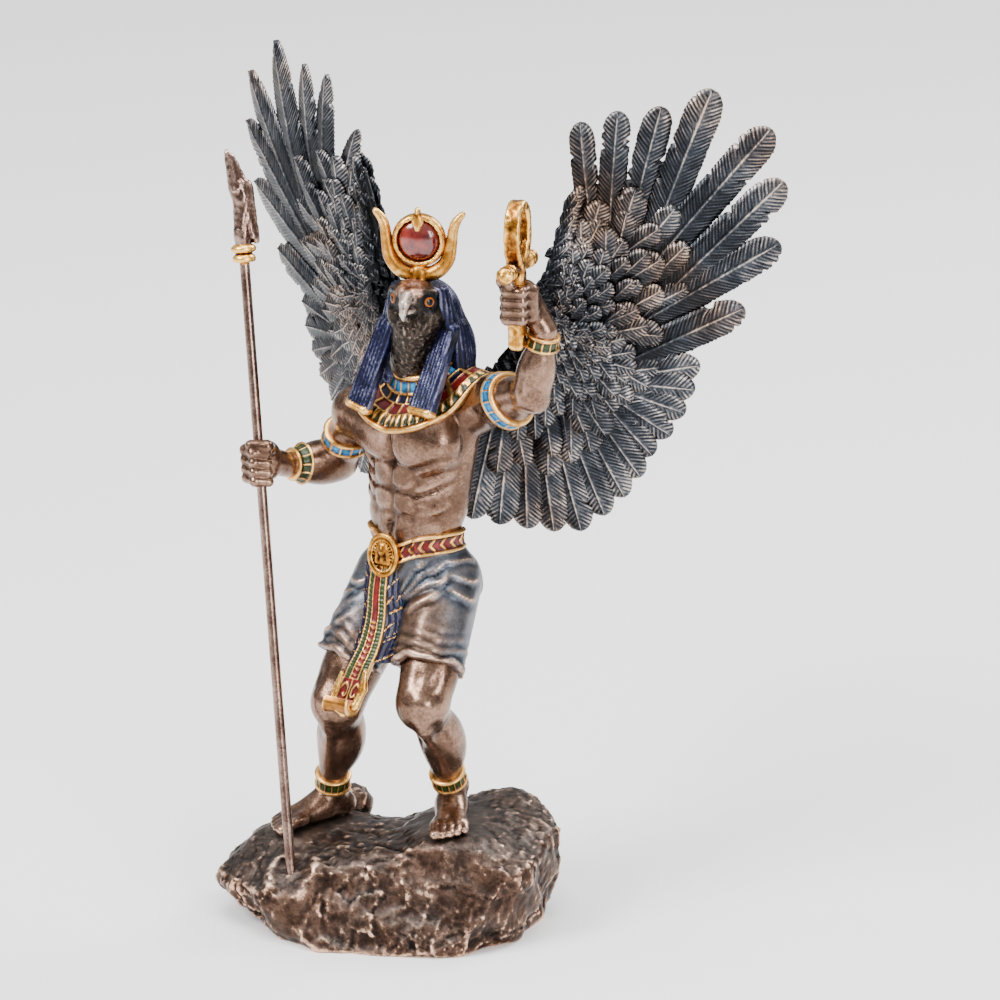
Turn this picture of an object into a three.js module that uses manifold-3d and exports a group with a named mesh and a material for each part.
// A winged, falcon-headed figurine of cold-cast bronze on a rock, after an ancient Egyptian sun god: bare chest,
// short kilt, broad collar, striped headcloth, a staff in the right hand and an ankh in the raised left one.
// Millimetres, +Z up, the figure faces -Y, and the origin is the middle of the rock's flat underside.
import * as THREE from "three";
import { mergeVertices } from "three/addons/utils/BufferGeometryUtils.js";
import Module from "manifold-3d";

const wasm = await Module();
wasm.setup();

// Driving sizes
const GAP = 0.35; // clearance between pieces that touch
const ROD_RADIUS = 1.7;
const ROD_SOCKET_DEPTH = 6;
const MIDLINE_X = 6.3; // the wings mirror each other across the plane x = MIDLINE_X
const WING_SWEEP = 20; // degrees that each wing is swept back from the shoulder line
const WING_ROOT_Y = 27.5; // where the two wing surfaces would meet on the midline
const WING_PAD_Y = 12.5; // the flat between back and wings, behind the middle of the chest

// Triangles that each organic piece keeps
const FIGURE_TRIANGLES = 3770;
const WING_TRIANGLES = 1540;
const ROCK_TRIANGLES = 480;

// Joints of the figure
const SHOULDER_RIGHT = [-17.5, 9, 177];
const ELBOW_RIGHT = [-31.5, 21, 153.2];
const WRIST_RIGHT = [-40.5, 0, 156.4];
const SHOULDER_LEFT = [30, 11, 185];
const ELBOW_LEFT = [58, -3.5, 198];
const WRIST_LEFT = [64.3, -5.6, 221];
const HIP_RIGHT = [-4, 9, 116];
const KNEE_RIGHT = [-12.6, -11.6, 79.5];
const ANKLE_RIGHT = [-24.5, 2, 39.5];
const HIP_LEFT = [17.3, 8.8, 119];
const KNEE_LEFT = [22.5, -14, 86];
const ANKLE_LEFT = [19, 10.5, 46];
const TOES_RIGHT = [-0.4, -0.92, 0];
const TOES_LEFT = [0.48, -0.88, 0];
const SOLE_RIGHT_Z = 30.5;
const SOLE_LEFT_Z = 36.6;
const HEAD = [9.2, 7, 215.5];
const HEAD_TOP_Z = 226.5;

// The staff leans back and to the figure's right, from its foot on the rock to its finial
const STAFF_FOOT = [-18.6, -33.8, 16.7];
const STAFF_LEAN = [-0.1675, 0.1438, 1];
const STAFF_TOP_Z = 227.2;
const FIST_RIGHT_Z = 160;

// The ankh stands upright in the raised fist
const ANKH = [57.6, -12, 231];
const ANKH_TURN = 10; // degrees from the front-to-back direction

// The crown stands on the head and faces a little further to the left than the face does
const CROWN = [9.4, 6, 241.6];
const CROWN_TURN = 20;

// Vector arithmetic
const add = (a, b) => [a[0] + b[0], a[1] + b[1], a[2] + b[2]];
const sub = (a, b) => [a[0] - b[0], a[1] - b[1], a[2] - b[2]];
const times = (a, s) => [a[0] * s, a[1] * s, a[2] * s];
const dot = (a, b) => a[0] * b[0] + a[1] * b[1] + a[2] * b[2];
const cross = (a, b) => [a[1] * b[2] - a[2] * b[1], a[2] * b[0] - a[0] * b[2], a[0] * b[1] - a[1] * b[0]];
const unit = (a) => times(a, 1 / Math.hypot(...a));
const mix = (a, b, t) => add(a, times(sub(b, a), t));
const radians = (degrees) => (degrees * Math.PI) / 180;
const clamp = (v, low, high) => Math.min(Math.max(v, low), high);

// A local frame turned about +Z: x to the figure's left, y backwards, z a height above the frame's own centre
function turned(centre, degrees) {
  const c = Math.cos(radians(degrees));
  const s = Math.sin(radians(degrees));
  const frame = (x, y, z) => [centre[0] + c * x - s * y, centre[1] + s * x + c * y, centre[2] + z];
  frame.back = [-s, c, 0];
  frame.left = [c, s, 0];
  return frame;
}
const hips = turned([7, 8.5, 0], -20);
const chest = turned([6.8, 8.5, 0], -12);
const face = turned(HEAD, 9);
const crown = turned(CROWN, CROWN_TURN);

// Distance fields: each is a function of x, y, z that is negative inside
const smoothMin = (a, b, k) => {
  const h = Math.max(k - Math.abs(a - b), 0) / k;
  return Math.min(a, b) - (h * h * k) / 4;
};

// A limb with round ends of two radii
function limb(a, b, ra, rb) {
  const ab = sub(b, a);
  const inverse = 1 / dot(ab, ab);
  return (x, y, z) => {
    const px = x - a[0];
    const py = y - a[1];
    const pz = z - a[2];
    const t = clamp((px * ab[0] + py * ab[1] + pz * ab[2]) * inverse, 0, 1);
    return Math.hypot(px - t * ab[0], py - t * ab[1], pz - t * ab[2]) - ra - t * (rb - ra);
  };
}

// An ellipsoid of half sizes across, deep and long, with its long axis along one direction and its deep axis near
// another
function lump(centre, [across, deep, long], along = [0, 0, 1], facing = [0, 1, 0]) {
  const w = unit(along);
  const u = unit(cross(facing, w));
  const v = cross(w, u);
  return (x, y, z) => {
    const p = [x - centre[0], y - centre[1], z - centre[2]];
    const a = dot(p, u) / across;
    const b = dot(p, v) / deep;
    const c = dot(p, w) / long;
    const near = Math.hypot(a, b, c);
    return (near * (near - 1)) / (Math.hypot(a / across, b / deep, c / long) + 1e-9);
  };
}

// A rounded strap from a to b with two half widths, flat across the facing direction
function strap(a, b, wa, wb, thick, facing) {
  const length = Math.hypot(...sub(b, a));
  const w = unit(sub(b, a));
  const u = unit(cross(facing, w));
  const v = cross(w, u);
  const round = Math.min(thick, wb) * 0.8;
  return (x, y, z) => {
    const p = [x - a[0], y - a[1], z - a[2]];
    const t = dot(p, w) / length;
    const half = wa + clamp(t, 0, 1) * (wb - wa);
    const across = Math.max(Math.abs(dot(p, u)) - half + round, 0);
    const deep = Math.max(Math.abs(dot(p, v)) - thick + round, 0);
    const along = Math.max(Math.abs(t - 0.5) * length - length / 2 + round, 0);
    return Math.hypot(across, deep, along) - round;
  };
}

// A round band about an axis, such as a bracelet
function band(centre, axis, radius, width, thick) {
  const n = unit(axis);
  return (x, y, z) => {
    const p = [x - centre[0], y - centre[1], z - centre[2]];
    const along = dot(p, n);
    const out = Math.hypot(...sub(p, times(n, along))) - radius;
    return Math.hypot(Math.max(Math.abs(along) - width / 2, 0), Math.max(Math.abs(out) - thick, 0)) - 0.3;
  };
}

const blend = (k, fields) => (x, y, z) => fields.reduce((d, f) => smoothMin(d, f(x, y, z), k), 1e3);
const cutBy = (field, point, normal) => {
  const n = unit(normal);
  return (x, y, z) => Math.max(field(x, y, z), dot(sub([x, y, z], point), n));
};

// Marching tetrahedra: the closed surface of a field inside a box, as an indexed geometry
const CORNERS = [0, 1, 2, 3, 4, 5, 6, 7].map((i) => [i & 1, (i >> 1) & 1, (i >> 2) & 1]);
const TETRAHEDRA = [
  [0, 5, 1, 7],
  [0, 1, 3, 7],
  [0, 3, 2, 7],
  [0, 2, 6, 7],
  [0, 6, 4, 7],
  [0, 4, 5, 7],
];
function surface(field, low, high, step) {
  const n = low.map((v, i) => Math.ceil((high[i] - v) / step) + 1);
  const at = (i, j, k) => i + n[0] * (j + n[1] * k);
  const values = new Float64Array(n[0] * n[1] * n[2]);
  const sample = (i, j, k) => field(low[0] + i * step, low[1] + j * step, low[2] + k * step);
  const BLOCK = 4;
  for (let k = 0; k < n[2]; k += BLOCK) {
    for (let j = 0; j < n[1]; j += BLOCK) {
      for (let i = 0; i < n[0]; i += BLOCK) {
        const middle = sample(i + BLOCK / 2, j + BLOCK / 2, k + BLOCK / 2);
        const far = Math.abs(middle) > BLOCK * step * 1.6;
        for (let c = k; c < Math.min(k + BLOCK, n[2]); c++) {
          for (let b = j; b < Math.min(j + BLOCK, n[1]); b++) {
            for (let a = i; a < Math.min(i + BLOCK, n[0]); a++) {
              const rim = [a, b, c].some((v, axis) => v === 0 || v === n[axis] - 1);
              const d = rim ? step : far ? middle : sample(a, b, c);
              values[at(a, b, c)] = Math.abs(d) < 1e-3 * step ? 1e-3 * step : d;
            }
          }
        }
      }
    }
  }
  const points = [];
  const faces = [];
  const made = new Map();
  const place = (g) => [g % n[0], Math.floor(g / n[0]) % n[1], Math.floor(g / (n[0] * n[1]))];
  const between = (a, b) => {
    const key = Math.min(a, b) * values.length + Math.max(a, b);
    if (!made.has(key)) {
      const t = clamp(values[a] / (values[a] - values[b]), 0.04, 0.96);
      const p = place(a);
      const q = place(b);
      made.set(key, points.length / 3);
      p.forEach((v, i) => points.push(low[i] + step * (v + t * (q[i] - v))));
    }
    return made.get(key);
  };
  for (let k = 0; k < n[2] - 1; k++) {
    for (let j = 0; j < n[1] - 1; j++) {
      for (let i = 0; i < n[0] - 1; i++) {
        const cell = CORNERS.map(([a, b, c]) => at(i + a, j + b, k + c));
        const inside = cell.filter((g) => values[g] < 0).length;
        if (inside === 0 || inside === 8) continue;
        for (const corners of TETRAHEDRA) {
          const g = corners.map((c) => cell[c]);
          const isIn = g.filter((c) => values[c] < 0);
          const isOut = g.filter((c) => values[c] >= 0);
          if (!isIn.length || !isOut.length) continue;
          const cuts =
            isIn.length === 2
              ? [[0, 0], [0, 1], [1, 1], [1, 0]].map(([a, b]) => [isIn[a], isOut[b]])
              : isIn.length === 1
                ? isOut.map((o) => [isIn[0], o])
                : isIn.map((o) => [o, isOut[0]]);
          const [a, b, c] = cuts.map(([from, to]) => mix(place(from), place(to), 0.5));
          const flip = dot(cross(sub(b, a), sub(c, a)), sub(place(isOut[0]), place(isIn[0]))) < 0;
          const ring = (flip ? cuts.reverse() : cuts).map(([from, to]) => between(from, to));
          for (let t = 2; t < ring.length; t++) faces.push(ring[0], ring[t - 1], ring[t]);
        }
      }
    }
  }
  return { points, faces };
}

// The figure's parts, as lists of fields that melt into each other
const UP = [0, 0, 1];

function torso() {
  return blend(5, [
    lump(chest(0, 1, 167), [19, 12, 23], UP, chest.back),
    lump(chest(-1.6, 1.5, 147), [18.6, 10.8, 22], UP, chest.back),
    lump(hips(0, 1, 128), [17, 12.5, 15], UP, hips.back),
    limb(chest(-13, 4, 176), chest(-12.5, 3, 148), 8.5, 6),
    limb(chest(15, 4, 180), chest(12, 3, 150), 8.5, 6),
    limb(chest(-3, 5, 190), SHOULDER_RIGHT, 6, 7),
    limb(chest(6, 5, 193), add(SHOULDER_LEFT, [0, 0, 1.5]), 6.5, 7.5),
    limb(chest(1, 4, 185), HEAD, 8.5, 8),
  ]);
}

function muscles() {
  const rows = [159.8, 151.3, 142.6];
  const belly = rows.flatMap((z) => [-4.5, 4.5].map((x) => lump(chest(x, -8.4, z), [4.6, 2.7, 4.2])));
  return blend(1.2, [
    lump(chest(-8.6, -6.4, 171.8), [11, 6.2, 8.8], [-0.25, 0, 1], chest.back),
    lump(chest(9.8, -6.4, 172.6), [12, 6.2, 9.4], [0.55, 0, 1], chest.back),
    ...belly,
  ]);
}

function arms() {
  const upperRight = sub(ELBOW_RIGHT, SHOULDER_RIGHT);
  const lowerRight = sub(WRIST_RIGHT, ELBOW_RIGHT);
  const upperLeft = sub(ELBOW_LEFT, SHOULDER_LEFT);
  const lowerLeft = sub(WRIST_LEFT, ELBOW_LEFT);
  return blend(2.5, [
    lump(SHOULDER_RIGHT, [8.4, 8.2, 9.4], upperRight),
    limb(SHOULDER_RIGHT, ELBOW_RIGHT, 6.8, 5.4),
    lump(mix(SHOULDER_RIGHT, ELBOW_RIGHT, 0.55), [6.8, 6.8, 12], upperRight),
    limb(ELBOW_RIGHT, WRIST_RIGHT, 5.8, 4.2),
    lump(add(mix(ELBOW_RIGHT, WRIST_RIGHT, 0.34), [0.4, 0, 1.4]), [7, 7.2, 11.5], lowerRight),
    lump(add(mix(ELBOW_RIGHT, WRIST_RIGHT, 0.36), [0, 0.5, -2.2]), [5.6, 5.6, 11], lowerRight),
    lump(SHOULDER_LEFT, [8.2, 8.6, 10], upperLeft),
    limb(SHOULDER_LEFT, ELBOW_LEFT, 7.4, 6),
    lump(add(mix(SHOULDER_LEFT, ELBOW_LEFT, 0.22), [0, 0, 3.2]), [7, 7, 10], upperLeft),
    lump(mix(SHOULDER_LEFT, ELBOW_LEFT, 0.52), [7.6, 7.6, 13], upperLeft),
    limb(ELBOW_LEFT, WRIST_LEFT, 6, 4.4),
    lump(mix(ELBOW_LEFT, WRIST_LEFT, 0.3), [6.9, 6.4, 10], lowerLeft),
  ]);
}

// A fist closed round an upright bar: four curled fingers, a palm and a thumb over the top
function fist(bar, axis, wrist, from, sweep, reach) {
  const up = unit(axis);
  const spot = (angle, r, z) => {
    const flat = [Math.cos(radians(angle)), Math.sin(radians(angle)), 0];
    return add(add(bar, times(flat, r)), times(up, z));
  };
  const fingers = [4.9, 1.7, -1.5, -4.6].flatMap((z) =>
    [0, 1, 2].map((i) => {
      const a = from + (sweep * i) / 3;
      return limb(spot(a, reach, z), spot(a + sweep / 3, reach, z), 2.2, 2);
    })
  );
  const palm = from - sweep * 0.35;
  return blend(1, [
    ...fingers,
    limb(spot(palm, reach, 3), spot(palm, reach, -3), 4, 3.8),
    limb(spot(from, reach, 4), spot(from, reach, -4), 2.6, 2.6),
    limb(spot(palm, reach + 1, 0), wrist, 4.6, 4.2),
    limb(spot(palm - sweep * 0.15, reach, 4), spot(palm - sweep * 0.55, reach + 0.5, 7), 2.6, 2.2),
    limb(spot(palm - sweep * 0.55, reach + 0.5, 7), spot(from + sweep * 0.6, reach, 7.4), 2.2, 2),
  ]);
}

const onStaff = (z) => add(STAFF_FOOT, times(STAFF_LEAN, z - STAFF_FOOT[2]));

function legs() {
  return blend(2.5, [
    limb(HIP_RIGHT, KNEE_RIGHT, 12, 8.6),
    lump(add(KNEE_RIGHT, [-1, -1.5, -1]), [8.2, 8.2, 9]),
    limb(KNEE_RIGHT, ANKLE_RIGHT, 6.8, 4.6),
    lump([-17.4, -2.4, 64.5], [8.3, 8.4, 14], sub(KNEE_RIGHT, ANKLE_RIGHT)),
    limb(HIP_LEFT, KNEE_LEFT, 12.2, 8.4),
    lump(add(KNEE_LEFT, [-0.5, -1.5, -1]), [8.2, 8.2, 9]),
    limb(KNEE_LEFT, ANKLE_LEFT, 6.4, 4.6),
    lump([22.8, -0.6, 69], [6, 7.4, 13.5], sub(KNEE_LEFT, ANKLE_LEFT)),
    foot(ANKLE_RIGHT, TOES_RIGHT, SOLE_RIGHT_Z),
    foot(ANKLE_LEFT, TOES_LEFT, SOLE_LEFT_Z),
  ]);
}

function foot(ankle, ahead, sole) {
  const side = cross(UP, ahead);
  const at = (forward, across, z) => {
    const p = add(add(ankle, times(ahead, forward)), times(side, across));
    return [p[0], p[1], sole + z];
  };
  const toes = [-5, -2.4, 0, 2.4, 4.8].map((across, i) => {
    const reach = 25 - Math.abs(i - 1.4) * 1.5;
    return limb(at(17, across * 0.9, 2.4), at(reach, across, 1.7), 2, 1.7);
  });
  return blend(1.5, [
    limb(at(-5, 0, 3.6), at(4, 0, 4.6), 4.4, 4.8),
    limb(ankle, at(7, 0, 5), 4.8, 4.4),
    limb(at(4, -1.5, 5), at(17, -2.4, 2.8), 4.2, 2.8),
    limb(at(4, 1.5, 4), at(17, 2.6, 2.8), 3.8, 2.6),
    ...toes,
  ]);
}

// The kilt: one loose leg on each thigh under a belt, hems square to the legs
function kilt() {
  const right = sub([-11, -6.5, 92], HIP_RIGHT);
  const left = sub([21.5, -9.5, 96], HIP_LEFT);
  const rightLeg = limb(add(HIP_RIGHT, [0, 0, 4]), add(HIP_RIGHT, times(right, 1.4)), 12.6, 11.2);
  const leftLeg = limb(add(HIP_LEFT, [0, 0, 3]), add(HIP_LEFT, times(left, 1.4)), 12.8, 12);
  return blend(3, [
    cutBy(rightLeg, add(HIP_RIGHT, right), right),
    cutBy(leftLeg, add(HIP_LEFT, left), left),
    cutBy(lump(hips(0, 1, 123), [18.6, 13.6, 14], UP, hips.back), hips(0, 0, 133), UP),
  ]);
}

function belt() {
  const ring = lump(hips(0, 1, 134), [19.3, 14.2, 30], UP, hips.back);
  const tilt = add(UP, times(hips.left, -0.06));
  return cutBy(cutBy(ring, hips(0, 0, 138), tilt), hips(0, 0, 131.4), times(tilt, -1));
}

// The apron hangs from an oval buckle, swings forward and ends in a reared curl
function apron() {
  const top = hips(0, -14, 128);
  const end = [-2.5, -26, 92];
  return blend(0.8, [
    lump(hips(0, -13.6, 133), [5.2, 2.2, 7], UP, hips.back),
    strap(top, mix(top, end, 1), 3.4, 4.4, 1, hips.back),
    strap(hips(5, -13, 127), add(end, [7, 1.5, 3]), 2.4, 3, 0.9, hips.back),
    strap(hips(-4.6, -13, 126), add(end, [-5, 1.5, 5]), 1.8, 2.2, 0.9, hips.back),
    limb(end, [-2, -28, 85], 4, 3.2),
    limb([-5.5, -26.5, 90], [-4, -28.5, 83.5], 1.6, 1.3),
    limb([3.5, -25.5, 92], [0, -28.5, 83.5], 1.7, 1.3),
  ]);
}

function jewellery() {
  const across = (a, b, t, radius, width) => band(mix(a, b, t), sub(b, a), radius, width, 0.7);
  return [
    across(SHOULDER_RIGHT, ELBOW_RIGHT, 0.46, 7.2, 5.4),
    across(SHOULDER_LEFT, ELBOW_LEFT, 0.62, 8.1, 5.4),
    across(ELBOW_RIGHT, WRIST_RIGHT, 0.8, 5.2, 4),
    across(ELBOW_LEFT, WRIST_LEFT, 0.86, 5.4, 4),
    across(KNEE_RIGHT, ANKLE_RIGHT, 0.87, 5.9, 5),
    across(KNEE_LEFT, ANKLE_LEFT, 0.87, 6.1, 5),
  ].reduce((a, b) => (x, y, z) => Math.min(a(x, y, z), b(x, y, z)));
}

// A dome laid over the shoulders and chest, cut off along a tilted plane
function collar() {
  const dome = lump(chest(2, 2.5, 177.5), [24, 16.5, 17], [0.18, 0.3, 1], chest.back);
  return cutBy(dome, chest(1, -14, 176.5), sub(times(chest.back, 0.55), UP));
}

// A falcon's head inside a striped headcloth whose two lappets hang over the collar
function head() {
  return blend(1.6, [
    lump(face(0, 1, 0), [9.6, 10.5, 11], UP, face.back),
    lump(face(0, -6, 2.5), [6.4, 6.5, 5.6], UP, face.back),
    limb(face(0, -10, 4.5), face(0, -15.3, 3), 3.4, 2),
    limb(face(0, -15.3, 3), face(0, -16.8, -1.8), 2, 0.9),
    limb(face(-4.5, -9, 7), face(-7, -3, 7.5), 1.4, 1.4),
    limb(face(4.5, -9, 7), face(7, -3, 7.5), 1.4, 1.4),
    limb(face(0, -5, -6), chest(1, -6, 184), 7, 8.6),
  ]);
}

function headcloth() {
  return blend(2, [
    lump(face(0, 4.5, -1.5), [12.5, 9, 12.5], UP, face.back),
    lump(face(1.5, 7, -13), [15.5, 7.5, 17], UP, face.back),
    strap(face(-10, -3, -3), [-8.5, -4.2, 186.5], 3.6, 4.8, 1.9, chest.back),
    strap(face(11, -1, -3), [17.5, -5.8, 186.5], 3.8, 5, 1.9, chest.back),
  ]);
}

function figureField() {
  const body = [torso(), muscles(), arms(), legs()];
  const dress = [kilt(), belt(), apron(), jewellery(), collar(), head(), headcloth()];
  const hands = [
    fist(onStaff(FIST_RIGHT_Z), STAFF_LEAN, WRIST_RIGHT, 150, 190, 4.3),
    fist(ANKH, UP, WRIST_LEFT, 20, -190, 4.5),
  ];
  return blend(0.7, [...body, ...dress, ...hands]);
}

// Edge collapses by quadric error, until the surface keeps the wanted number of triangles
function simplify({ points, faces }, target) {
  const count = points.length / 3;
  const at = [];
  for (let v = 0; v < count; v++) at.push([points[3 * v], points[3 * v + 1], points[3 * v + 2]]);
  const tris = [];
  const around = at.map(() => new Set());
  const error = at.map(() => new Float64Array(10));
  for (let f = 0; f < faces.length; f += 3) {
    const tri = [faces[f], faces[f + 1], faces[f + 2]];
    const [a, b, c] = tri.map((v) => at[v]);
    const normal = cross(sub(b, a), sub(c, a));
    const area = Math.hypot(...normal);
    tri.forEach((v) => around[v].add(tris.length));
    tris.push(tri);
    if (area < 1e-9) continue;
    const [x, y, z] = times(normal, 1 / area);
    const w = -(x * a[0] + y * a[1] + z * a[2]);
    const plane = [x * x, x * y, x * z, x * w, y * y, y * z, y * w, z * z, z * w, w * w];
    tri.forEach((v) => plane.forEach((q, i) => (error[v][i] += q * area)));
  }
  const cost = (q, [x, y, z]) =>
    q[0] * x * x + 2 * q[1] * x * y + 2 * q[2] * x * z + 2 * q[3] * x + q[4] * y * y +
    2 * q[5] * y * z + 2 * q[6] * y + q[7] * z * z + 2 * q[8] * z + q[9];
  const best = (a, b) => {
    const q = error[a].map((v, i) => v + error[b][i]);
    const choices = [mix(at[a], at[b], 0.5), at[a], at[b]];
    const col = [
      [q[0], q[1], q[2]],
      [q[1], q[4], q[5]],
      [q[2], q[5], q[7]],
    ];
    const right = [-q[3], -q[6], -q[8]];
    const det = dot(col[0], cross(col[1], col[2]));
    if (Math.abs(det) > 1e-4 * (q[0] + q[4] + q[7]) ** 3) {
      const solved = [
        dot(right, cross(col[1], col[2])) / det,
        dot(col[0], cross(right, col[2])) / det,
        dot(col[0], cross(col[1], right)) / det,
      ];
      const near = Math.hypot(...sub(solved, choices[0])) < 1.5 * Math.hypot(...sub(at[a], at[b]));
      if (near) choices.push(solved);
    }
    const costs = choices.map((p) => cost(q, p));
    const lowest = Math.min(...costs);
    const spread = 1e-4 * dot(sub(at[a], at[b]), sub(at[a], at[b]));
    return { cost: Math.max(lowest, 0) + spread, place: choices[costs.indexOf(lowest)] };
  };
  const heap = [];
  const swap = (i, j) => ([heap[i], heap[j]] = [heap[j], heap[i]]);
  const push = (item) => {
    heap.push(item);
    for (let i = heap.length - 1; i > 0 && heap[(i - 1) >> 1].cost > heap[i].cost; i = (i - 1) >> 1) {
      swap(i, (i - 1) >> 1);
    }
  };
  const pop = () => {
    swap(0, heap.length - 1);
    const item = heap.pop();
    for (let i = 0; ; ) {
      const below = [2 * i + 1, 2 * i + 2].filter((c) => c < heap.length);
      const [low] = below.sort((a, b) => heap[a].cost - heap[b].cost);
      if (low === undefined || heap[low].cost >= heap[i].cost) return item;
      swap(i, low);
      i = low;
    }
  };
  const version = new Uint32Array(count);
  const neighbours = (v) => {
    const ring = new Set();
    around[v].forEach((f) => tris[f].forEach((u) => u !== v && ring.add(u)));
    return ring;
  };
  const queue = (a, b) => push({ a, b, va: version[a], vb: version[b], ...best(a, b) });
  for (let v = 0; v < count; v++) neighbours(v).forEach((u) => u > v && queue(v, u));
  let left = tris.length;
  const flips = (v, other, place) => {
    for (const f of around[v]) {
      const tri = tris[f];
      if (tri.includes(other)) continue;
      const [a, b, c] = tri.map((u) => at[u]);
      const before = cross(sub(b, a), sub(c, a));
      const [d, e, g] = tri.map((u) => (u === v ? place : at[u]));
      const after = cross(sub(e, d), sub(g, d));
      if (dot(before, after) < 0.2 * Math.hypot(...before) * Math.hypot(...after)) return true;
    }
    return false;
  };
  while (left > target && heap.length) {
    const { a, b, va, vb, place } = pop();
    if (version[a] !== va || version[b] !== vb || !around[a].size || !around[b].size) continue;
    const ringB = neighbours(b);
    if (!ringB.has(a)) continue;
    const shared = [...neighbours(a)].filter((v) => ringB.has(v));
    if (shared.length !== 2 || flips(a, b, place) || flips(b, a, place)) continue;
    at[a] = place;
    error[b].forEach((q, i) => (error[a][i] += q));
    for (const f of around[b]) {
      if (tris[f].includes(a)) {
        tris[f].forEach((v) => v !== b && around[v].delete(f));
        tris[f] = null;
        left -= 1;
      } else {
        tris[f] = tris[f].map((v) => (v === b ? a : v));
        around[a].add(f);
      }
    }
    around[b] = new Set();
    version[a] += 1;
    version[b] += 1;
    neighbours(a).forEach((v) => queue(a, v));
  }
  const kept = [...new Set(tris.filter((t) => t).flat())];
  const renamed = new Map(kept.map((v, i) => [v, i]));
  return {
    points: kept.flatMap((v) => at[v]),
    faces: tris.filter((t) => t).flatMap((t) => t.map((v) => renamed.get(v))),
  };
}

// Solids for joining and cutting
function solidOf({ points, faces }) {
  const vertProperties = new Float32Array(points);
  const mesh = new wasm.Mesh({ numProp: 3, vertProperties, triVerts: new Uint32Array(faces) });
  mesh.merge();
  return new wasm.Manifold(mesh);
}
function solidFrom(geometry) {
  const plain = geometry.clone();
  plain.deleteAttribute("normal");
  plain.deleteAttribute("uv");
  const merged = mergeVertices(plain, 1e-4);
  return solidOf({ points: [...merged.attributes.position.array], faces: [...merged.index.array] });
}
function surfaceOf(solid) {
  const mesh = solid.getMesh();
  const points = [];
  for (let v = 0; v < mesh.numVert; v++) {
    for (let i = 0; i < 3; i++) points.push(mesh.vertProperties[v * mesh.numProp + i]);
  }
  const faces = [...mesh.triVerts];
  const same = new Map([...mesh.mergeFromVert].map((v, i) => [v, mesh.mergeToVert[i]]));
  return { points, faces: faces.map((v) => same.get(v) ?? v) };
}
function named(name, solid, [color, roughness, metalness]) {
  const { points, faces } = surfaceOf(solid);
  const geometry = new THREE.BufferGeometry();
  geometry.setAttribute("position", new THREE.Float32BufferAttribute(points, 3));
  geometry.setIndex(faces);
  geometry.computeVertexNormals();
  const mesh = new THREE.Mesh(geometry, new THREE.MeshStandardMaterial({ color, roughness, metalness }));
  mesh.name = name;
  return mesh;
}

// A box of half sizes along two directions given by its own x and z, with its centre where it is told
function block(centre, [x, y, z], left = [1, 0, 0], up = UP) {
  const w = new THREE.Vector3(...unit(up));
  const v = new THREE.Vector3().crossVectors(w, new THREE.Vector3(...left)).normalize();
  const u = new THREE.Vector3().crossVectors(v, w);
  const matrix = new THREE.Matrix4().makeBasis(u, v, w).setPosition(...centre);
  return solidFrom(new THREE.BoxGeometry(2 * x, 2 * y, 2 * z).applyMatrix4(matrix));
}

// A round rod between two points
function rod(a, b, radius, sides = 16, endRadius = radius) {
  const axis = new THREE.Vector3(...sub(b, a));
  const shape = new THREE.CylinderGeometry(endRadius, radius, axis.length(), sides);
  const upright = new THREE.Vector3(0, 1, 0);
  shape.applyQuaternion(new THREE.Quaternion().setFromUnitVectors(upright, axis.normalize()));
  shape.translate(...mix(a, b, 0.5));
  return solidFrom(shape);
}

// The wings. A spot on a wing is given by its distance out from the midline, its height and its distance
// forward of the wing's surface; the surface leans back towards its lower edge and dips to the back at its root.
const HUB = [38, 212];
const FLIGHT_FEATHERS = 21;
const FIRST_FEATHER_RIGHT = 0.8; // the right wing's leading feather is shorter than the left one's
const RIGHT_WING_SPREAD = 4.5; // degrees that its upper feathers fan further out
const FEATHER_KEYS = [
  // feather number, tip's angle round the hub, tip's distance from the hub, direction of the shaft, half width
  [0, 83, 67, 98, 4.2],
  [2, 64, 81, 78, 5.2],
  [3, 56.5, 95, 71, 6.2],
  [4, 42.5, 97.5, 52, 6.3],
  [5, 32, 90, 47, 6.2],
  [6, 19, 79.5, 33, 6.2],
  [7, 2.5, 63.5, 28, 6.2],
  [8, -20, 52, 8, 5.8],
  [12, -57, 60.5, -50, 5.6],
  [16, -84, 80, -77, 5.8],
  [20, -111, 81, -103, 5.8],
];
const COVERT_ROWS = [
  // share of the flight feathers' reach, number of feathers, half width, height above the wing
  [0.66, 11, 5.2, 1.6],
  [0.5, 10, 4.8, 2.6],
  [0.35, 8, 4.4, 3.6],
];
const BACK_ROWS = [[0.55, 9, 5.2, -1.7]];

const wingSpot = (side) => (across, up, forward) => {
  const root = clamp(1 - across / 26, 0, 1);
  const bend = 0.09 * Math.max(across - 62, 0);
  const behind = 0.05 * (265 - up) + bend - 7 * root * root * (3 - 2 * root) - forward;
  const s = Math.sin(radians(WING_SWEEP));
  const c = Math.cos(radians(WING_SWEEP));
  return [MIDLINE_X + side * (across * c - behind * s), WING_ROOT_Y + across * s + behind * c, up];
};

// The values of a feather anywhere along the wing, between the nearest two keys
function featherAt(number, side) {
  const last = FEATHER_KEYS.length - 1;
  const next = clamp(FEATHER_KEYS.findIndex((key) => key[0] >= number), 1, last);
  const from = FEATHER_KEYS[next - 1];
  const to = FEATHER_KEYS[next];
  const t = (number - from[0]) / (to[0] - from[0]);
  const [, angle, reach, direction, half] = from.map((v, i) => v + t * (to[i] - v));
  const spread = side < 0 ? RIGHT_WING_SPREAD * clamp((angle + 20) / 25, 0, 1) : 0;
  return { angle: angle - spread, reach, direction: direction - spread, half };
}

function tipOf(angle, reach) {
  return [HUB[0] + Math.cos(radians(angle)) * reach, HUB[1] + Math.sin(radians(angle)) * reach];
}

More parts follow.
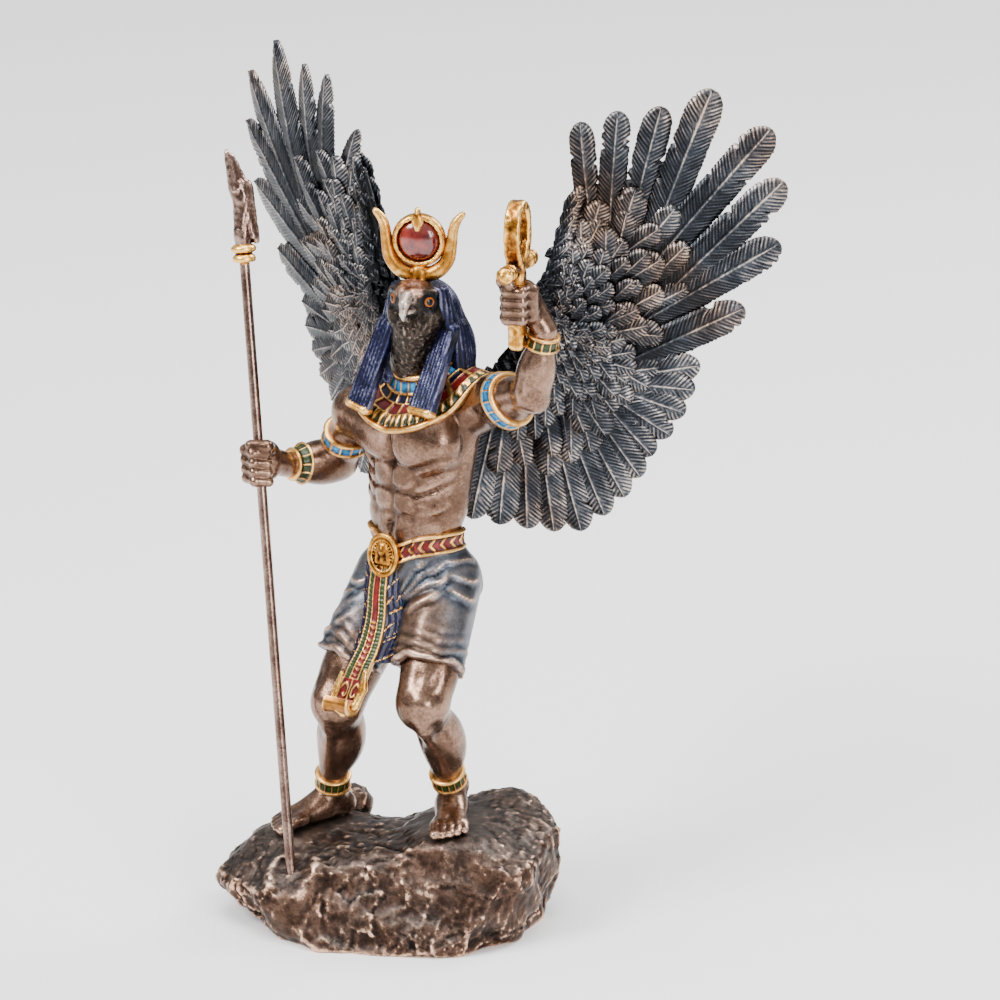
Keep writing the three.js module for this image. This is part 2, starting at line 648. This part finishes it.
// A feather: a thin blade with a raised shaft, narrow at its root and rounded at its tip
const BLADE_OUTLINE = [
  [0, 0.5],
  [0.4, 0.88],
  [0.76, 1],
  [0.92, 0.84],
  [1, 0.32],
];
function feather(spot, tip, direction, length, half, low, high, thick) {
  const dir = [Math.cos(radians(direction)), Math.sin(radians(direction))];
  const points = [];
  for (const [t, share] of BLADE_OUTLINE) {
    const back = (t - 1) * length;
    const middle = [tip[0] + dir[0] * back, tip[1] + dir[1] * back];
    const lift = low + (high - low) * t;
    const w = half * share;
    const shaft = thick * (1.1 - 0.5 * t);
    points.push(...spot(middle[0] - dir[1] * w, middle[1] + dir[0] * w, lift - 0.3));
    points.push(...spot(middle[0], middle[1], lift + shaft * 0.6));
    points.push(...spot(middle[0] + dir[1] * w, middle[1] - dir[0] * w, lift - 0.3));
    points.push(...spot(middle[0], middle[1], lift - shaft * 0.6));
  }
  const faces = [];
  const rings = BLADE_OUTLINE.length;
  for (let r = 0; r < rings - 1; r++) {
    for (let i = 0; i < 4; i++) {
      const a = 4 * r + i;
      const b = 4 * r + ((i + 1) % 4);
      faces.push(a, b, a + 4, b, b + 4, a + 4);
    }
  }
  const end = 4 * (rings - 1);
  faces.push(0, 3, 2, 0, 2, 1, end, end + 1, end + 2, end, end + 2, end + 3);
  const solid = solidOf({ points, faces });
  return solid.volume() > 0 ? solid : solidOf({ points, faces: faces.reverse() });
}

function wing(side) {
  const spot = wingSpot(side);
  const blades = [];
  for (let i = 0; i < FLIGHT_FEATHERS; i++) {
    const { angle, reach, direction, half } = featherAt(i, side);
    const level = 0.5 * (i % 2);
    const full = side < 0 && i === 0 ? FIRST_FEATHER_RIGHT * reach : reach;
    blades.push(feather(spot, tipOf(angle, full), direction, 0.62 * full, half, level - 0.4, level, 2));
    if (i % 2) blades.push(feather(spot, tipOf(angle, 0.72 * reach), angle, 0.72 * reach, 8.5, 0, 0, 2));
  }
  for (const [share, count, half, height] of [...COVERT_ROWS, ...BACK_ROWS]) {
    for (let i = 0; i < count; i++) {
      const number = 0.4 + ((FLIGHT_FEATHERS - 1.4) * i) / (count - 1);
      const { angle, reach, direction } = featherAt(number, side);
      const tip = tipOf(angle, reach * share);
      blades.push(feather(spot, tip, direction, 15 + 10 * share, half, height * 0.3, height, 1.8));
    }
  }
  const bone = [
    [6, 178, 5.5],
    [30, 190, 5.5],
    [38, 212, 4.6],
    [41, 236, 3.6],
    [45, 252, 2.6],
  ];
  const limbs = [];
  for (let i = 1; i < bone.length; i++) {
    const [from, to] = [bone[i - 1], bone[i]];
    limbs.push(limb(spot(from[0], from[1], 0), spot(to[0], to[1], 0), from[2], to[2]));
  }
  const mount = chest(side * 9, WING_PAD_Y - 6, 178);
  limbs.push(limb(spot(10, 180, 0), mount, 6, 5.5));
  limbs.push(limb(spot(14, 168, 0), spot(12, 158, 0), 5, 4));
  const arm = blend(3, limbs);
  const box = [spot(-10, 140, 0), spot(60, 262, 0), mount];
  const low = [0, 1, 2].map((i) => Math.min(...box.map((p) => p[i])) - 14);
  const high = [0, 1, 2].map((i) => Math.max(...box.map((p) => p[i])) + 14);
  const core = solidOf(simplify(surface(arm, low, high, 2), 220));
  const joined = blades.reduce((a, b) => a.add(b), core);
  const light = solidOf(simplify(surfaceOf(joined), WING_TRIANGLES));
  const pad = block(chest(0, WING_PAD_Y - 20, 175), [60, 20, 40], chest.left);
  const halfSpace = block([MIDLINE_X - side * (100 - GAP / 2), 30, 180], [100, 100, 150]);
  return light.subtract(pad).subtract(halfSpace);
}

const FIGURE_BOX = [[-58, -40, 26], [76, 36, 246]];
const figureShape = simplify(surface(figureField(), ...FIGURE_BOX, 1.7), FIGURE_TRIANGLES);

// The cast figure, with flats for the soles, the crown and the wings and with a hole through each fist
function castFigure() {
  let solid = solidOf(figureShape);
  const footRight = block(add(ANKLE_RIGHT, [-4, -9, SOLE_RIGHT_Z - ANKLE_RIGHT[2] - 10]), [22, 30, 10]);
  const footLeft = block(add(ANKLE_LEFT, [4, -9, SOLE_LEFT_Z - ANKLE_LEFT[2] - 10]), [22, 30, 10]);
  const above = block([HEAD[0], HEAD[1], HEAD_TOP_Z + 10], [20, 20, 10]);
  const behind = block(chest(0, WING_PAD_Y + 20 - GAP, 175), [24, 20, 26], chest.left);
  const staffHole = rod(onStaff(FIST_RIGHT_Z - 14), onStaff(FIST_RIGHT_Z + 14), ROD_RADIUS + GAP);
  const beside = turned([0, 0, 0], ANKH_TURN).left;
  const ankhHole = block(ANKH, [ANKH_THICK / 2 + GAP, ANKH_SHAFT / 2 + GAP, 20], beside);
  const crossbar = block(add(ANKH, [0, 0, ANKH_BAR_Z]), [2.9 + GAP, 15, 2.9 + GAP], beside);
  const footHalf = [ANKH_THICK / 2 + GAP, ANKH_SHAFT / 2 + 0.7 + GAP, 5];
  const ankhFoot = block(add(ANKH, [0, 0, -14]), footHalf, beside);
  const holes = [staffHole, ankhHole, ankhFoot, crossbar];
  for (const cut of [footRight, footLeft, above, behind, ...holes]) solid = solid.subtract(cut);
  return solid;
}

// The rock. Its own frame has x along its long side and y to its back. Its widest outline is a polygon with a
// corner every 30 degrees from x, it is undercut below that line, and its front is broken off along a slope.
const ROCK_TURN = 30;
const rockFrame = turned([0, 0, 0], ROCK_TURN);
const ROCK_CORNERS = [59, 56, 49, 44, 46, 56, 60.5, 52, 48.5, 50, 53.5, 57];
const ROCK_CORNER_STEP = (2 * Math.PI) / ROCK_CORNERS.length;
const ROCK_TOP_Z = 30;
const ROCK_MOUNDS = [
  // x, y, height, width
  [26, -1, 5.5, 18],
  [30, 36, 8.5, 22],
  [-14, 36, -8, 18],
];
const FRONT_SLOPE = { through: [0, -26, 29], normal: [-0.17, -0.86, 0.475] };
const BOULDER = { centre: [-28, 22.5, 28.5], half: [7.5, 5.5, 6.5] };
const FOOT_BEDS = [
  { ankle: ANKLE_RIGHT, ahead: TOES_RIGHT, sole: SOLE_RIGHT_Z },
  { ankle: ANKLE_LEFT, ahead: TOES_LEFT, sole: SOLE_LEFT_Z },
];

const smooth = (low, high, v) => {
  const t = clamp((v - low) / (high - low), 0, 1);
  return t * t * (3 - 2 * t);
};

function rockOutline(angle) {
  const count = ROCK_CORNERS.length;
  const turns = (angle / ROCK_CORNER_STEP + count) % count;
  const i = Math.floor(turns);
  const t = turns - i;
  const near = Math.sin((1 - t) * ROCK_CORNER_STEP) / ROCK_CORNERS[i];
  const next = Math.sin(t * ROCK_CORNER_STEP) / ROCK_CORNERS[(i + 1) % count];
  return Math.sin(ROCK_CORNER_STEP) / (near + next);
}

// How much of the way a spot lies on the level bed under a foot
function onFootBed(x, y, { ankle, ahead }) {
  const forward = (x - ankle[0]) * ahead[0] + (y - ankle[1]) * ahead[1];
  const across = (y - ankle[1]) * ahead[0] - (x - ankle[0]) * ahead[1];
  return Math.exp(-(((forward - 9) / 22) ** 4) - (across / 13) ** 4);
}

function rockField(x, y, z) {
  const u = dot(rockFrame.left, [x, y, z]);
  const d = dot(rockFrame.back, [x, y, z]);
  const radius = Math.hypot(u, d);
  const edge = rockOutline(Math.atan2(d, u));
  const out = radius / edge;
  const widest = 22 + 0.13 * u;
  const undercut = 0.00025 + 0.0007 * smooth(-20, -58, u) - 0.00015 * smooth(0, 50, u);
  const crag = 1.2 * Math.sin(u * 0.21 + z * 0.3) * Math.sin(d * 0.25 - u * 0.06);
  const fall = 6 * out ** 4 + 6 * smooth(20, 60, -0.75 * u - 0.66 * d);
  let top = ROCK_TOP_Z + 0.07 * u - fall + 0.5 * crag;
  for (const [mx, my, height, width] of ROCK_MOUNDS) {
    top += height * Math.exp(-((x - mx) ** 2 + (y - my) ** 2) / (width * width));
  }
  for (const bed of FOOT_BEDS) top += (bed.sole + 0.3 - top) * onFootBed(x, y, bed);
  const side = radius - edge * (1 - undercut * (z - widest) ** 2) + crag;
  const { through, normal } = FRONT_SLOPE;
  const front = dot(sub([u, d, z], through), normal) + 0.6 * crag;
  const body = -smoothMin(smoothMin(-side, -front, 2), top - z, 3);
  const { centre, half } = BOULDER;
  const boulder = Math.hypot(...sub([x, y, z], centre).map((v, i) => v / half[i])) * 6 - 6;
  return smoothMin(body, boulder, 1.5);
}

function rock() {
  const shape = simplify(surface(rockField, [-66, -62, -6], [66, 62, 50], 2.6), ROCK_TRIANGLES);
  let solid = solidOf(shape).subtract(block([0, 0, -10], [90, 90, 10]));
  const pads = FOOT_BEDS.map(({ ankle, ahead, sole }) => {
    const middle = add([ankle[0], ankle[1], sole - GAP + 20], times(ahead, 8.5));
    return block(middle, [10, 20, 20], cross(ahead, UP));
  });
  const socket = rod(onStaff(STAFF_FOOT[2] - ROD_SOCKET_DEPTH), onStaff(STAFF_FOOT[2] + 14), ROD_RADIUS + GAP);
  for (const cut of [...pads, socket]) solid = solid.subtract(cut);
  return solid;
}

function staffRod() {
  return rod(onStaff(STAFF_FOOT[2] - ROD_SOCKET_DEPTH + GAP), onStaff(STAFF_TOP_Z - GAP), ROD_RADIUS);
}

// A profile turned about the staff: pairs of a radius and a height above the rod's top
function turnedOnStaff(profile, sides = 14) {
  const shape = new THREE.LatheGeometry(profile.map(([r, h]) => new THREE.Vector2(r, h)), sides);
  const axis = new THREE.Vector3(...unit(STAFF_LEAN));
  shape.rotateX(Math.PI / 2);
  shape.applyQuaternion(new THREE.Quaternion().setFromUnitVectors(new THREE.Vector3(0, 0, 1), axis));
  shape.translate(...onStaff(STAFF_TOP_Z));
  return solidFrom(shape);
}

// The finial: a double ring, a neck and a desert animal's long head with a swept-back crest
function staffHead() {
  const along = unit(STAFF_LEAN);
  const ahead = unit([-0.62, -0.45, 0.1]);
  const at = (h, out) => add(add(onStaff(STAFF_TOP_Z), times(along, h)), times(ahead, out));
  const field = blend(1, [
    limb(at(0.4, 0), at(9, 0), 2.6, 2.9),
    limb(at(9, 0), at(22, -1), 3, 3.4),
    limb(at(22, -1), at(25, 0), 3.6, 3.2),
    limb(at(25, 0.5), at(37, 3.2), 3.2, 1.2),
    limb(at(26, -2.5), at(8, -4.6), 2.6, 1.5),
    limb(at(28, -1), at(36, 1.5), 2, 0.9),
  ]);
  const corner = [at(-2, 0), at(40, 0)];
  const low = [0, 1, 2].map((i) => Math.min(...corner.map((p) => p[i])) - 10);
  const high = [0, 1, 2].map((i) => Math.max(...corner.map((p) => p[i])) + 10);
  const head = solidOf(simplify(surface(field, low, high, 1.2), 260));
  const rings = [[0, 0], [2.6, 0], [3.9, 0.9], [3.9, 2.2], [2.9, 3], [4.3, 3.8], [4.3, 5.2], [2.9, 6], [0, 6]];
  return head.add(turnedOnStaff(rings)).subtract(rod(onStaff(STAFF_TOP_Z - 20), onStaff(STAFF_TOP_Z), 12));
}

// The ankh: a looped cross held by its flat shaft
const ANKH_THICK = 4.4;
const ANKH_SHAFT = 6;
const ANKH_BAR_Z = 12.4;
function ankh() {
  const half = ANKH_THICK / 2;
  const frame = turned(ANKH, ANKH_TURN);
  const bar = block(frame(0, 0, -2.5), [half, ANKH_SHAFT / 2, 13.5], frame.left);
  const foot = block(frame(0, 0, -13), [half, ANKH_SHAFT / 2 + 0.7, 2.6], frame.left);
  const arm = rod(frame(0, -12.5, ANKH_BAR_Z), frame(0, 12.5, ANKH_BAR_Z), 2);
  const ends = [-11, 11].map((y) => rod(frame(0, y - 2.6, ANKH_BAR_Z), frame(0, y + 2.6, ANKH_BAR_Z), 2.9));
  const steps = 18;
  const loop = [];
  for (let i = 0; i <= steps; i++) {
    const a = (i / steps) * 2 * Math.PI;
    const narrow = 0.6 + 0.4 * Math.sin(a / 2);
    loop.push(frame(0, -6.4 * Math.sin(a) * narrow, 22.7 - 10.2 * Math.cos(a)));
  }
  const links = loop.slice(1).map((p, i) => limb(loop[i], p, 1.9, 1.9));
  const low = sub(frame(0, 0, 8), [10, 16, 0]);
  const high = add(frame(0, 0, 38), [10, 16, 0]);
  const ring = solidOf(simplify(surface(blend(0.5, links), low, high, 1.2), 260));
  return [foot, arm, ...ends, ring].reduce((a, b) => a.add(b), bar);
}

// The crown: a red disc in a gold rim between two horns, with a small cobra over the rim
const HORN = [
  // out from the middle, height from the disc's middle, half thickness
  [1.6, -12, 2.4],
  [4.4, -11.4, 2.6],
  [7.4, -9.6, 2.6],
  [10, -5.8, 2.4],
  [11, -0.4, 2],
  [11.7, 4.4, 1.7],
  [12.9, 7.2, 1.4],
  [15, 9.6, 1],
];
function hornedCrown() {
  const horn = (side) =>
    HORN.slice(1).map(([x, z, girth], i) => {
      const [fromX, fromZ, fromGirth] = HORN[i];
      return limb(crown(side * fromX, 0, fromZ), crown(side * x, 0, z), fromGirth, girth);
    });
  const field = blend(0.8, [
    lump(crown(0, 0, 0), [8.7, 3.4, 8.7], UP, crown.back),
    ...horn(1),
    ...horn(-1),
    limb(crown(0, 0, -15), crown(0, 0, -11), 3.8, 3),
    limb(crown(0, -2.6, 5), crown(0, -1.6, 10.5), 1.8, 1.5),
  ]);
  const low = crown(0, 0, -19).map((v, i) => v - [20, 13, 0][i]);
  const high = crown(0, 0, 16).map((v, i) => v + [20, 13, 0][i]);
  const shape = solidOf(simplify(surface(field, low, high, 1), 540));
  return shape.subtract(block([CROWN[0], CROWN[1], HEAD_TOP_Z + GAP - 10], [20, 20, 10]));
}

// Colour, roughness and metalness of the painted finishes
const SKIN = [0x6b4e3c, 0.35, 0.7];
const DARK_FEATHER = [0x2f3640, 0.5, 0.6];
const STONE = [0x5b463a, 0.55, 0.5];
const PALE_METAL = [0xb08e7c, 0.3, 0.9];
const GOLD = [0xc98a2b, 0.35, 0.8];

const figurine = new THREE.Group();
figurine.add(named("rock_base", rock(), STONE));
figurine.add(named("figure", castFigure(), SKIN));
figurine.add(named("wing_left", wing(1), DARK_FEATHER));
figurine.add(named("wing_right", wing(-1), DARK_FEATHER));
figurine.add(named("staff_rod", staffRod(), PALE_METAL));
figurine.add(named("staff_head", staffHead(), PALE_METAL));
figurine.add(named("ankh", ankh(), GOLD));
figurine.add(named("horned_sun_crown", hornedCrown(), GOLD));

export default figurine;
